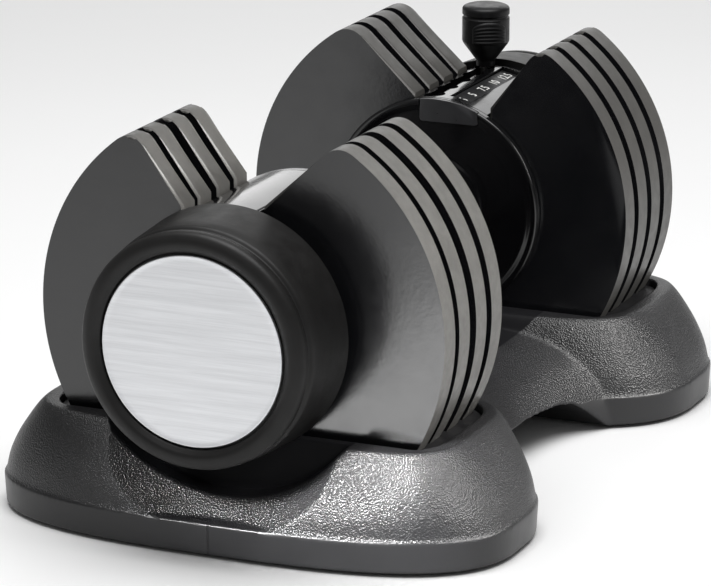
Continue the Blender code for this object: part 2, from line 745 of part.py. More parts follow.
def build_rack(turned, side):
    """Insert with one slot per plate, its underside a trough that follows the plates."""
    plan = rack_plan(2.4, RACK_START_X, RACK_END_X)
    rack = prism(f"plate_rack_{side}", plan, "z", 3.0, RACK_TOP, "rack_plastic")
    hull = trough("hull", 50.0, 150.0, 3.2)
    subtract(rack, hull, "INTERSECT")
    lip = prism("lip", plan, "z", RACK_TOP - 3.0, RACK_TOP - 0.01)
    subtract(rack, lip, "UNION")
    cutters = [hull, lip]
    for index in range(PLATES_PER_HEAD):
        low = PLATE_FIRST + index * PLATE_PITCH - 0.4
        high = low + PLATE_THICKNESS + 0.8
        if turned and index == PLATES_PER_HEAD - 2:
            low += NEAR_PLATE_LEAN
            high += NEAR_PLATE_LEAN
        slot = trough(f"plate_slot_{index}", low, high, 0.3)
        subtract(rack, slot)
        cutters.append(slot)
    relief = disc("relief", 50.0, FLANGE_OUTER_X + 0.4, FLANGE_RECESS, None, 36, "x", (0, 0, AXIS_HEIGHT))
    subtract(rack, relief)
    cutters.append(relief)
    bake(rack)
    drop(*cutters)
    place(rack, turned, "floor")
    plan = [(max(ARCH_HALF + WALL + 1.6, x), y) for x, y in oval(PEDESTAL_LEVELS[0], WALL + 0.6, 32)]
    base = prism(f"cradle_base_plate_{side}", plan, "z", 1.8, 4.0, "rack_plastic")
    place(base, turned, "floor")
    for label, y in (("left", 70.0), ("right", -70.0)):
        profile = [(0.0, 0.0), (0.0, 9.4), (0.4, 10.0), (1.5, 10.0), (1.5, 0.0)]
        foot = lathe(f"foot_{side}_{label}", profile, "z", "foot_rubber", 28, (PEDESTAL_X, y, 0.0))
        place(foot, turned, "floor")


def main():
    clear_scene()
    make_stations()
    build_plates()
    build_grip()
    for turned, side in ((False, "far"), (True, "near")):
        build_flange(turned, side)
        build_spine(turned, side)
        build_end_cap(turned, side)
        build_rack(turned, side)
    build_gate_cover()
    build_selector()
    build_cradle()


main()
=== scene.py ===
"""Looks of the adjustable dumbbell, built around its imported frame.

Shapes are drawn in millimetres about the bar axis with X along the bar, and placed from the frame's
own boxes. The near head is the far head turned half a turn, so both ends share their builders.
"""

import json
import math

import bmesh
import bpy
from mathutils import Matrix, Vector

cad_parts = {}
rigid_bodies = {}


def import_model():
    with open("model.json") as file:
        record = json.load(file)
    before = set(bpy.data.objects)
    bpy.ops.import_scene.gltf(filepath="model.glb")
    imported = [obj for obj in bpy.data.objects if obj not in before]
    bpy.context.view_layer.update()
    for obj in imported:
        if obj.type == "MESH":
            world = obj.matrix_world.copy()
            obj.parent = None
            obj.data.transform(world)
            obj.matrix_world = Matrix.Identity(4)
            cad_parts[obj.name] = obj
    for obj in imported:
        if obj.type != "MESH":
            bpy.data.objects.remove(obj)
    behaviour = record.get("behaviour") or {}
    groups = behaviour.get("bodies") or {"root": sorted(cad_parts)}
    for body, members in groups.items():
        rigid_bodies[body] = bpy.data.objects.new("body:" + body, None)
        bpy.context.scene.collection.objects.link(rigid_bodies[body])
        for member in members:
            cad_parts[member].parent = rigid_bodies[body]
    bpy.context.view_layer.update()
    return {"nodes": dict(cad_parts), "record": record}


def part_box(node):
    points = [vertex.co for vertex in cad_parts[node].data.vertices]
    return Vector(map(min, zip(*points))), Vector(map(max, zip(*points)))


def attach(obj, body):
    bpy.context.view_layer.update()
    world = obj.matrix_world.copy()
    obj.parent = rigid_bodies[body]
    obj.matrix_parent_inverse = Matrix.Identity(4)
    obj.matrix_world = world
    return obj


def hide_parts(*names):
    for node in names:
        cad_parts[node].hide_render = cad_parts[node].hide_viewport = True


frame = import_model()

MM = 0.001
RECORD = frame["record"]
BODY_OF = {node: body for body, nodes in RECORD["behaviour"]["bodies"].items() for node in nodes}
SLOT_OF = {row["node"]: row["material_slot"] for row in RECORD["subparts"]}
HEADS = ((False, "far"), (True, "near"))


def span(node, axis):
    """Lowest and highest value of a node along one axis, in millimetres."""
    low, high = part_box(node)
    return low[axis] / MM, high[axis] / MM


def along(node):
    """Span of a node along the bar, measured from the middle whichever head it is on."""
    low, high = span(node, 0)
    return (low, high) if high > 0.0 else (-high, -low)


FLANGE_RADIUS = (span("inner_flange_far", 1)[1] - span("inner_flange_far", 1)[0]) / 2.0
AXIS_Z = sum(span("inner_flange_far", 2)) / 2.0
COVER_LOW, COVER_HIGH = span("gate_cover", 1)
SPINE_Y = (COVER_LOW + COVER_HIGH) / 2.0
PLATE_RADIUS = (span("weight_plate_far_1", 1)[1] - span("weight_plate_far_1", 1)[0]) / 2.0
PLATE_FOOT = span("weight_plate_far_1", 2)[0] - AXIS_Z
SLOT_Y = sum(span("knob_shaft", 1)) / 2.0
KNOB_X = sum(span("knob_shaft", 0)) / 2.0
KNOB_STEP = 13.7
SETTINGS = ("2.5", "5", "7.5", "10", "12.5")
STRIP_TILT = math.radians(12.0)
STRIP_SHIFT = 1.2
STRIP_HALF = 4.3
STRIP_TOP = 42.4
NUMERAL_SIZE = 5.4
NUMERAL_START = 6.0
NUMERAL_PITCH = KNOB_STEP * 0.86
GATE_HALF = 2.7
POCKET_RADIUS = 4.4
POCKET_FLOOR = 40.6
WINDOW_FLOOR = 41.2
ABOVE_ALL = 60.0
BADGE_RADIUS = 35.2
SLEEVE_OUTER = 16.5
SLEEVE_INNER = 14.4
STEP_Z = 13.4
CAP_RECESS = 60.5
CAMERA_AT = (-1.45937, -0.62674, 0.50672)
CAMERA_AIM = (-0.04639, -0.01306, 0.07442)
CAMERA_LENS = 215.4


# ---------------------------------------------------------------- finishes

class Finish:
    """A procedural material on a Principled shader; all detail is laid out in the piece's own space."""

    def __init__(self, name, roughness, metallic=0.0, specular=0.5, coat=0.0, coat_roughness=0.1):
        self.material = bpy.data.materials.new(name)
        self.material.use_nodes = True
        self.tree = self.material.node_tree
        self.shader = self.tree.nodes["Principled BSDF"]
        self.shader.inputs["Roughness"].default_value = roughness
        self.shader.inputs["Metallic"].default_value = metallic
        self.shader.inputs["Specular IOR Level"].default_value = specular
        self.shader.inputs["Coat Weight"].default_value = coat
        self.shader.inputs["Coat Roughness"].default_value = coat_roughness
        self.height = None

    def node(self, kind, **values):
        made = self.tree.nodes.new(kind)
        for name, value in values.items():
            setattr(made, name, value)
        return made

    def link(self, source, target):
        self.tree.links.new(source, target)

    def place(self, size, stretch=(1.0, 1.0, 1.0), tilt=0.0):
        """Coordinates in the piece's space where one unit is size millimetres."""
        coordinates = self.node("ShaderNodeTexCoord")
        mapping = self.node("ShaderNodeMapping")
        mapping.inputs["Rotation"].default_value = (tilt, 0.0, 0.0)
        mapping.inputs["Scale"].default_value = [s / (size * MM) for s in stretch]
        self.link(coordinates.outputs["Object"], mapping.inputs["Vector"])
        return mapping.outputs["Vector"]

    def noise(self, size, detail=3.0, stretch=(1.0, 1.0, 1.0), tilt=0.0, rough=0.55):
        texture = self.node("ShaderNodeTexNoise")
        texture.inputs["Scale"].default_value = 1.0
        texture.inputs["Detail"].default_value = detail
        texture.inputs["Roughness"].default_value = rough
        self.link(self.place(size, stretch, tilt), texture.inputs["Vector"])
        return texture.outputs["Fac"]

    def cells(self, size, feature="F1"):
        texture = self.node("ShaderNodeTexVoronoi", feature=feature)
        texture.inputs["Scale"].default_value = 1.0
        self.link(self.place(size), texture.inputs["Vector"])
        return texture.outputs["Distance"]

    def ranged(self, value, low, high, to_low, to_high):
        limits = self.node("ShaderNodeMapRange")
        for name, number in (("From Min", low), ("From Max", high), ("To Min", to_low), ("To Max", to_high)):
            limits.inputs[name].default_value = number
        self.link(value, limits.inputs["Value"])
        return limits.outputs["Result"]

    def math(self, operation, first, second):
        step = self.node("ShaderNodeMath", operation=operation)
        for socket, value in zip(step.inputs, (first, second)):
            if isinstance(value, float):
                socket.default_value = value
            else:
                self.link(value, socket)
        return step.outputs["Value"]

    def blend(self, share, first, second):
        """Colour between two colours, or between a colour and an earlier result."""
        mix = self.node("ShaderNodeMix", data_type="RGBA")
        self.link(share, mix.inputs["Factor"])
        for name, value in (("A", first), ("B", second)):
            socket = [s for s in mix.inputs if s.name == name and s.type == "RGBA"][0]
            if isinstance(value, tuple):
                socket.default_value = (*value, 1.0)
            else:
                self.link(value, socket)
        return [s for s in mix.outputs if s.type == "RGBA"][0]

    def colour(self, value):
        self.link(value, self.shader.inputs["Base Color"])

    def roughness(self, value):
        self.link(value, self.shader.inputs["Roughness"])

    def bump(self, value, depth, strength=1.0):
        """Stack one more relief of the given depth in millimetres."""
        relief = self.node("ShaderNodeBump")
        relief.inputs["Distance"].default_value = depth * MM
        if isinstance(strength, float):
            relief.inputs["Strength"].default_value = strength
        else:
            self.link(strength, relief.inputs["Strength"])
        self.link(value, relief.inputs["Height"])
        if self.height:
            self.link(self.height, relief.inputs["Normal"])
        self.height = relief.outputs["Normal"]
        self.link(self.height, self.shader.inputs["Normal"])


def scaled(colour, factor):
    return tuple(min(1.0, value * factor) for value in colour)


def mottled(finish, colour, spread, size, detail=4.0):
    """Base colour that drifts between a darker and a lighter shade over patches of a size."""
    share = finish.ranged(finish.noise(size, detail), 0.3, 0.7, 0.0, 1.0)
    return finish.blend(share, scaled(colour, 1.0 - spread), scaled(colour, 1.0 + spread))


def worn(finish, base, bare, amount=0.6):
    """Convex edges rubbed towards a lighter shade, broken up by noise."""
    geometry = finish.node("ShaderNodeNewGeometry")
    edge = finish.ranged(geometry.outputs["Pointiness"], 0.52, 0.6, 0.0, amount)
    patchy = finish.ranged(finish.noise(3.0, 5.0), 0.35, 0.65, 0.2, 1.0)
    return finish.blend(finish.math("MULTIPLY", edge, patchy), base, bare)


def coated_face():
    """Satin powder coat with orange peel, on the broad faces of the plates."""
    colour = (0.0022, 0.0023, 0.0028)
    finish = Finish("plate_face", 0.26, specular=0.95)
    finish.colour(mottled(finish, colour, 0.1, 26.0))
    finish.roughness(finish.ranged(finish.noise(9.0, 4.0), 0.3, 0.7, 0.18, 0.24))
    finish.bump(finish.noise(2.4, 1.0), 0.05, 0.5)
    finish.bump(finish.noise(0.8, 2.0), 0.012, 0.5)
    return finish.material


def coated_rim():
    """Turned rim of a plate: the coat lies thin and grey over fine tool marks along the rim."""
    colour = (0.03, 0.029, 0.027)
    finish = Finish("plate_rim", 0.42, metallic=0.15, specular=0.5)
    finish.colour(mottled(finish, colour, 0.12, 7.0, 6.0))
    finish.roughness(finish.ranged(finish.noise(5.0, 4.0), 0.3, 0.7, 0.36, 0.5))
    finish.bump(finish.noise(0.35, 3.0, (1.0, 0.12, 0.12)), 0.03, 0.5)
    finish.bump(finish.noise(2.2, 2.0), 0.012, 0.4)
    return finish.material


def gloss_black():
    finish = Finish("gloss_black", 0.16, specular=0.5, coat=0.3, coat_roughness=0.05)
    finish.colour(mottled(finish, (0.0035, 0.0035, 0.004), 0.12, 30.0))
    finish.roughness(finish.ranged(finish.noise(14.0, 6.0), 0.35, 0.75, 0.12, 0.24))
    finish.bump(finish.noise(7.0, 1.0), 0.012, 0.35)
    finish.bump(finish.noise(0.8, 3.0), 0.004, 0.4)
    return finish.material


def satin_black():
    """Softer black of the inset tabs, which picks up more of the floor than the gloss around it."""
    finish = Finish("satin_black", 0.3, specular=0.85)
    finish.colour(mottled(finish, (0.02, 0.02, 0.022), 0.12, 12.0))
    finish.roughness(finish.ranged(finish.noise(5.0, 4.0), 0.3, 0.7, 0.26, 0.36))
    finish.bump(finish.noise(0.7, 2.0), 0.008, 0.4)
    return finish.material


def cap_plastic():
    colour = (0.0062, 0.0058, 0.0056)
    finish = Finish("cap_plastic", 0.46, specular=0.36)
    base = mottled(finish, colour, 0.14, 18.0)
    finish.colour(worn(finish, base, scaled(colour, 2.2), 0.5))
    finish.roughness(finish.ranged(finish.noise(6.0, 5.0), 0.3, 0.7, 0.42, 0.54))
    finish.bump(finish.noise(0.9, 3.0), 0.05, 0.5)
    finish.bump(finish.cells(0.45), 0.02, 0.4)
    return finish.material


def brushed_badge():
    colour = (0.82, 0.83, 0.85)
    tilt = math.radians(-1.5)
    finish = Finish("brushed_badge", 0.34, metallic=0.9)
    streaks = finish.noise(0.28, 5.0, (1.0, 0.014, 1.0), tilt, 0.75)
    broad = finish.noise(1.3, 3.0, (1.0, 0.03, 1.0), tilt)
    share = finish.ranged(finish.math("ADD", streaks, broad), 0.75, 1.25, 0.0, 1.0)
    finish.colour(finish.blend(share, scaled(colour, 0.9), scaled(colour, 1.08)))
    finish.roughness(finish.ranged(streaks, 0.3, 0.7, 0.34, 0.46))
    finish.bump(streaks, 0.006, 0.5)
    return finish.material


def cradle_plastic():
    """Moulded cradle: leather grain above the step, a smooth band with a seam below, and painted shade in
    the recess, where the specular level is turned down.
    """
    colour = (0.0058, 0.0058, 0.0064)
    gloss = 0.5
    finish = Finish("cradle_plastic", 0.3, specular=gloss)
    coordinates = finish.node("ShaderNodeTexCoord")
    split = finish.node("ShaderNodeSeparateXYZ")
    finish.link(coordinates.outputs["Object"], split.inputs["Vector"])
    across = finish.math("ABSOLUTE", split.outputs["Y"], 0.0)
    below_bar = finish.math("SUBTRACT", AXIS_Z * MM, split.outputs["Z"])
    squared = finish.math("ADD", finish.math("POWER", across, 2.0), finish.math("POWER", below_bar, 2.0))
    lip = CAP_RECESS + 0.3
    outside_recess = finish.ranged(finish.math("SQRT", squared, 0.0), lip * MM, (lip + 0.6) * MM, 0.06, 1.0)
    above_step = finish.ranged(split.outputs["Z"], (STEP_Z - 0.6) * MM, STEP_Z * MM, 0.05, 1.0)
    grained = finish.math("MULTIPLY", outside_recess, above_step)
    # Painted shade: inside the recess under the cap the specular level drops to about a twentieth, darkening
    # the recess as the cap's shade would.
    finish.link(finish.math("MULTIPLY", outside_recess, gloss), finish.shader.inputs["Specular IOR Level"])
    seam = finish.ranged(across, 0.1 * MM, 0.5 * MM, 0.0, 1.0)
    on_band = finish.ranged(split.outputs["Z"], (STEP_Z - 0.8) * MM, (STEP_Z - 0.5) * MM, 1.0, 0.0)
    base = mottled(finish, colour, 0.16, 34.0)
    finish.colour(worn(finish, base, scaled(colour, 2.0), 0.4))
    finish.roughness(finish.ranged(finish.noise(11.0, 5.0), 0.3, 0.7, 0.32, 0.4))
    finish.bump(finish.noise(16.0, 1.0), 0.05, 0.3)
    finish.bump(seam, 0.5, on_band)
    finish.bump(finish.cells(0.62), 0.24, grained)
    return finish.material


def rack_plastic():
    finish = Finish("rack_plastic", 0.5, specular=0.4)
    finish.colour(mottled(finish, (0.005, 0.005, 0.0055), 0.2, 15.0))
    finish.roughness(finish.ranged(finish.noise(5.0, 4.0), 0.3, 0.7, 0.42, 0.6))
    finish.bump(finish.noise(0.6, 3.0), 0.03, 0.5)
    return finish.material


def knob_plastic():
    finish = Finish("knob_plastic", 0.42, specular=0.35)
    colour = (0.0045, 0.0045, 0.005)
    base = mottled(finish, colour, 0.15, 8.0)
    finish.colour(worn(finish, base, scaled(colour, 2.5), 0.5))
    finish.roughness(finish.ranged(finish.noise(3.0, 4.0), 0.3, 0.7, 0.36, 0.5))
    finish.bump(finish.noise(0.4, 3.0), 0.02, 0.5)
    return finish.material


def strip_black():
    finish = Finish("strip_black", 0.45, specular=0.4)
    finish.colour(mottled(finish, (0.007, 0.007, 0.008), 0.2, 5.0))
    finish.roughness(finish.ranged(finish.noise(2.0, 4.0), 0.3, 0.7, 0.38, 0.55))
    finish.bump(finish.noise(0.3, 2.0), 0.01, 0.4)
    return finish.material


def numeral_paint():
    finish = Finish("numeral_paint", 0.5)
    finish.colour(mottled(finish, (0.72, 0.72, 0.70), 0.08, 1.5))
    finish.bump(finish.noise(0.2, 2.0), 0.01, 0.4)
    return finish.material


def ground_steel(name, colour, size, low, high):
    """Bare metal with fine grinding marks along the bar."""
    finish = Finish(name, (low + high) / 2.0, metallic=1.0)
    marks = finish.noise(size, 5.0, (0.03, 1.0, 1.0), 0.0, 0.65)
    share = finish.ranged(marks, 0.3, 0.7, 0.0, 1.0)
    finish.colour(finish.blend(share, scaled(colour, 0.82), scaled(colour, 1.08)))
    finish.roughness(finish.ranged(finish.noise(4.0, 4.0), 0.3, 0.7, low, high))
    finish.bump(marks, 0.01, 0.5)
    return finish.material


def moulded_rubber(name, colour, grain):
    finish = Finish(name, 0.75, specular=0.3)
    finish.colour(mottled(finish, colour, 0.18, 12.0))
    finish.roughness(finish.ranged(finish.noise(4.0, 5.0), 0.3, 0.7, 0.62, 0.85))
    finish.bump(finish.cells(grain, "SMOOTH_F1"), 0.14, 0.6)
    finish.bump(finish.noise(0.4, 3.0), 0.03, 0.6)
    return finish.material


FINISH = {
    "plate_coat": coated_face(),
    "plate_rim": coated_rim(),
    "gloss_black": gloss_black(),
    "satin_black": satin_black(),
    "cap_plastic": cap_plastic(),
    "brushed_badge": brushed_badge(),
    "cradle_plastic": cradle_plastic(),
    "rack_plastic": rack_plastic(),
    "knob_plastic": knob_plastic(),
    "strip_black": strip_black(),
    "numeral_paint": numeral_paint(),
    "steel": ground_steel("steel", (0.56, 0.56, 0.55), 0.4, 0.24, 0.36),
    "zinc_steel": ground_steel("zinc_steel", (0.44, 0.45, 0.47), 0.9, 0.32, 0.46),
    "grip_rubber": moulded_rubber("grip_rubber", (0.02, 0.02, 0.021), 1.1),
    "foot_rubber": moulded_rubber("foot_rubber", (0.018, 0.018, 0.018), 1.6),
}


# ---------------------------------------------------------------- mesh helpers, millimetres

def arc(cx, cy, radius, start, end, steps):
    """Points along an arc, angles in degrees."""
    turns = [math.radians(start + (end - start) * k / steps) for k in range(steps + 1)]
    return [(cx + radius * math.cos(turn), cy + radius * math.sin(turn)) for turn in turns]


def rounded(points, radius, steps=3):
    """Corners of a closed outline turned into short curves; a third value on a point is its own radius."""
    result = []
    count = len(points)
    for i, point in enumerate(points):
        own = point[2] if len(point) > 2 else radius
        here = Vector(point[:2])
        before = Vector(points[i - 1][:2]) - here
        after = Vector(points[(i + 1) % count][:2]) - here
        reach = min(own, before.length * 0.48, after.length * 0.48)
        if reach < 0.02:
            result.append(tuple(here))
            continue
        start = here + before.normalized() * reach
        end = here + after.normalized() * reach
        for k in range(steps + 1):
            t = k / steps
            spot = start * (1.0 - t) ** 2 + here * 2.0 * t * (1.0 - t) + end * t * t
            result.append((spot.x, spot.y))
    return result


def new_item(name, bm):
    bmesh.ops.recalc_face_normals(bm, faces=bm.faces)
    mesh = bpy.data.meshes.new(name)
    bm.to_mesh(mesh)
    bm.free()
    item = bpy.data.objects.new(name, mesh)
    bpy.context.scene.collection.objects.link(item)
    return item


def prism(name, outline, axis, low, high, bevel=0.0, steps=3, sharp_within=0.0):
    """Extrude an outline along an axis and round its end edges, except near the outline's origin."""
    places = {
        "x": lambda p, s: (s, p[0], p[1]),
        "y": lambda p, s: (p[0], s, p[1]),
        "z": lambda p, s: (p[0], p[1], s),
    }
    place = places[axis]
    bm = bmesh.new()
    rings = [[bm.verts.new(place(p, s)) for p in outline] for s in (low, high)]
    bm.faces.new(rings[0])
    bm.faces.new(list(reversed(rings[1])))
    count = len(outline)
    rim = []
    for i in range(count):
        j = (i + 1) % count
        bm.faces.new((rings[0][i], rings[0][j], rings[1][j], rings[1][i]))
        if min(math.hypot(*outline[i]), math.hypot(*outline[j])) >= sharp_within:
            rim += [bm.edges.get((ring[i], ring[j])) for ring in rings]
    if bevel:
        bmesh.ops.bevel(bm, geom=rim, offset=bevel, segments=steps, profile=0.5, affect="EDGES")
    return new_item(name, bm)


def lathe(name, profile, axis="x", segments=128, centre=(0.0, 0.0, 0.0)):
    """Revolve a closed profile of (station, radius) points; a radius of zero closes on the axis."""
    bm = bmesh.new()
    rings = []
    for station, radius in profile:
        ring = []
        for k in range(segments if radius > 1e-6 else 1):
            turn = 2.0 * math.pi * k / segments
            a, b = radius * math.cos(turn), radius * math.sin(turn)
            point = (station, a, b) if axis == "x" else (a, b, station)
            ring.append(bm.verts.new([point[i] + centre[i] for i in range(3)]))
        rings.append(ring)
    for ring, other in zip(rings, rings[1:] + rings[:1]):
        if len(ring) == 1 and len(other) == 1:
            continue
        for k in range(segments):
            n = (k + 1) % segments
            if len(ring) == 1:
                bm.faces.new((ring[0], other[n], other[k]))
            elif len(other) == 1:
                bm.faces.new((ring[k], ring[n], other[0]))
            else:
                bm.faces.new((ring[k], ring[n], other[n], other[k]))
    return new_item(name, bm)


def box(name, low, high):
    outline = [(low[0], low[1]), (high[0], low[1]), (high[0], high[1]), (low[0], high[1])]
    return prism(name, outline, "z", low[2], high[2])


def apply_modifiers(item):
    graph = bpy.context.evaluated_depsgraph_get()
    result = bpy.data.meshes.new_from_object(item.evaluated_get(graph))
    item.modifiers.clear()
    item.data = result
    return item


def combine(item, tools, operation="DIFFERENCE", keep=False):
    """Cut tools away from an item, or join them to it, and remove them unless they are kept."""
    for tool in tools:
        step = item.modifiers.new("step", "BOOLEAN")
        step.operation = operation
        step.solver = "EXACT"
        step.object = tool
    apply_modifiers(item)
    if not keep:
        for tool in tools:
            bpy.data.objects.remove(tool)
    return item


def soften(item, width, segments=2, angle=40.0):
    """Round every edge sharper than an angle."""
    step = item.modifiers.new("soften", "BEVEL")
    step.width = width
    step.segments = segments
    step.limit_method = "ANGLE"
    step.angle_limit = math.radians(angle)
    step.harden_normals = False
    return apply_modifiers(item)


def shade(item, angle=38.0):
    """Smooth shading that breaks at sharp edges and stays flat on flat faces."""
    bm = bmesh.new()
    bm.from_mesh(item.data)
    for face in bm.faces:
        face.smooth = True
    for edge in bm.edges:
        edge.smooth = len(edge.link_faces) != 2 or edge.calc_face_angle(0.0) < math.radians(angle)
    bm.to_mesh(item.data)
    bm.free()
    normals = item.modifiers.new("normals", "WEIGHTED_NORMAL")
    normals.keep_sharp = True
    return item


def settle(item, node, turned=False, on_floor=False, finishes=None):
    """Put a finished mesh in its place in the frame, standing for a node and riding on its body."""
    lift = 0.0 if on_floor else AXIS_Z * MM
    turn = Matrix.Rotation(math.pi if turned else 0.0, 4, "Z")
    item.data.transform(Matrix.Translation((0.0, 0.0, lift)) @ turn @ Matrix.Scale(MM, 4))
    for name in finishes or (SLOT_OF[node],):
        item.data.materials.append(FINISH[name])
    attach(item, BODY_OF[node])
    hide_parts(node)
    return item


# ---------------------------------------------------------------- weight plates

TIP_REACH = 7.5
PLATE_BEVEL = 1.15
SLOT_ROUND = 24.0


def plate_outline():
    """Disc with a flat foot, a V mouth, a straight slot and the hook over the selector bar."""
    left, right = SPINE_Y + 16.0, SPINE_Y - 16.0
    left_foot, left_corner = Vector((left, 44.6)), Vector((38.4, 70.2))
    right_foot, right_corner = Vector((right, 41.3)), Vector((-42.6, 67.7))
    foot = math.degrees(math.asin(PLATE_FOOT / PLATE_RADIUS))
    start = math.degrees(math.atan2(right_corner.y, right_corner.x)) + 5.0
    end = math.degrees(math.atan2(left_corner.y, left_corner.x)) - 5.0
    points = arc(0.0, 0.0, PLATE_RADIUS, start, 180.0 - foot, 72)
    points += arc(0.0, 0.0, PLATE_RADIUS, foot, end, 72)
    left_end = left_corner.lerp(left_foot, TIP_REACH / (left_corner - left_foot).length)
    points += tip(points[-1], left_corner, left_end)
    points.append(tuple(left_foot))
    points += arc(left - 5.0, -10.5, 5.0, 0.0, -90.0, 8)
    points += [(2.0, -15.5), (2.0, 9.0), (-11.3, 9.0), (-11.3, 4.4), (-4.6, 4.4), (-4.6, -15.5)]
    points += arc(right + 5.0, -10.5, 5.0, -90.0, -180.0, 8)
    points.append(tuple(right_foot))
    right_end = right_corner.lerp(right_foot, TIP_REACH / (right_corner - right_foot).length)
    points.append(tuple(right_end))
    points += tip(right_end, right_corner, points[0])[:-1]
    return points


def tip(start, corner, end, steps=10):
    """Rounded tip between two points, leaving the start out."""
    start, end = Vector(start), Vector(end)
    spots = []
    for k in range(1, steps + 1):
        t = k / steps
        spots.append(tuple(start * (1.0 - t) ** 2 + corner * 2.0 * t * (1.0 - t) + end * t * t))
    return spots


def build_plates():
    outline = plate_outline()
    for turned, side in HEADS:
        for index in range(1, 5):
            node = f"weight_plate_{side}_{index}"
            low, high = along(node)
            plate = prism(f"plate_{side}_{index}", outline, "x", low, high, PLATE_BEVEL, 3, SLOT_ROUND)
            for face in plate.data.polygons:
                face.material_index = 0 if abs(face.normal.x) > 0.99 else 1
            shade(plate)
            settle(plate, node, turned, finishes=("plate_coat", "plate_rim"))


# ---------------------------------------------------------------- handle unit

def build_flanges():
    for turned, side in HEADS:
        node = f"inner_flange_{side}"
        a, b = along(node)
        r = FLANGE_RADIUS
        corners = [(a, 14.5, 0.3), (a, 19.4, 1.2), (a + 0.7, 21.0, 1.0), (a + 0.7, 39.6, 1.2)]
        corners += [(a, 41.6, 0.8), (a, r, 1.3), (b, r, 0.5), (b, 14.5, 0.3)]
        flange = lathe(f"flange_{side}", rounded(corners, 0.3, 5), "x", 192)
        pocket = box("pocket", (a - 2.0, SPINE_Y - 12.6, 34.4), (a + 2.2, SPINE_Y + 12.6, ABOVE_ALL))
        combine(flange, [pocket])
        settle(shade(flange), node, turned)
        node = f"flange_tab_{side}"
        outline = arc(0.0, 0.0, r - 0.1, 81.75, 114.6, 24)
        outline += arc(SPINE_Y - 11.3, 35.7, 1.0, 180.0, 270.0, 5)
        outline += arc(SPINE_Y + 11.3, 35.7, 1.0, 270.0, 360.0, 5)
        low, high = along(node)
        tab = prism(f"tab_{side}", outline, "x", low, high, 0.45, 3)
        settle(shade(tab), node, turned, finishes=("satin_black",))


def cover_outline():
    """Crowned cover: its top follows the round of the flange."""
    start = math.degrees(math.acos(COVER_HIGH / FLANGE_RADIUS))
    end = math.degrees(math.acos(COVER_LOW / FLANGE_RADIUS))
    low = span("gate_cover", 2)[0] - AXIS_Z
    return arc(0.0, 0.0, FLANGE_RADIUS, start, end, 40) + [(COVER_LOW, low), (COVER_HIGH, low)]


def strip_outline(half, low, high):
    """Rectangle square to the crowned top, over the scale beside the gate."""
    c, s = math.cos(STRIP_TILT), math.sin(STRIP_TILT)
    right, left = STRIP_SHIFT - half, STRIP_SHIFT + half
    corners = ((right, low), (left, low), (left, high), (right, high))
    return [(t * c - n * s, t * s + n * c) for t, n in corners]


def build_covers():
    low, high = along("gate_cover")
    cover = prism("gate_top", cover_outline(), "x", low, high)
    inner = KNOB_X - (len(SETTINGS) - 1) * KNOB_STEP
    slot_low = (inner - GATE_HALF, SLOT_Y - GATE_HALF, 30.0)
    slot_high = (KNOB_X + GATE_HALF, SLOT_Y + GATE_HALF, ABOVE_ALL)
    tools = [box("slot", slot_low, slot_high)]
    for k in range(len(SETTINGS)):
        ring = [(POCKET_FLOOR, 0.0), (POCKET_FLOOR, POCKET_RADIUS)]
        ring += [(ABOVE_ALL, POCKET_RADIUS), (ABOVE_ALL, 0.0)]
        tools.append(lathe("pocket", ring, "z", 48, (KNOB_X - k * KNOB_STEP, SLOT_Y, 0.0)))
    window = strip_outline(STRIP_HALF + 0.3, WINDOW_FLOOR, ABOVE_ALL)
    tools.append(prism("window", window, "x", 70.0, 127.0))
    combine(cover, tools)
    soften(cover, 0.35)
    settle(shade(cover), "gate_cover")
    low, high = along("top_cover_near")
    plain = prism("near_top", cover_outline(), "x", low, high, 0.5, 3)
    settle(shade(plain), "top_cover_near", True)


def build_scale():
    low, high = along("number_strip")
    outline = strip_outline(STRIP_HALF, STRIP_TOP - 1.0, STRIP_TOP)
    strip = prism("scale_strip", outline, "x", low, high, 0.15, 2)
    settle(shade(strip), "number_strip")
    c, s = math.cos(STRIP_TILT), math.sin(STRIP_TILT)
    height = STRIP_TOP + 0.05
    for k, label in enumerate(reversed(SETTINGS)):
        text = bpy.data.curves.new(f"numeral_{k}", "FONT")
        text.body = label
        text.size = NUMERAL_SIZE * MM
        text.extrude = 0.04 * MM
        text.offset = 0.05 * MM
        text.align_x = "CENTER"
        text.align_y = "CENTER"
        numeral = bpy.data.objects.new(f"numeral_{k + 1}", text)
        bpy.context.scene.collection.objects.link(numeral)
        numeral.data.materials.append(FINISH["numeral_paint"])
        x = KNOB_X - NUMERAL_START - k * NUMERAL_PITCH
        place = Vector((x, STRIP_SHIFT * c - height * s, STRIP_SHIFT * s + height * c + AXIS_Z)) * MM
        numeral.matrix_world = Matrix.Translation(place) @ Matrix.Rotation(STRIP_TILT, 4, "X")
        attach(numeral, BODY_OF["number_strip"])


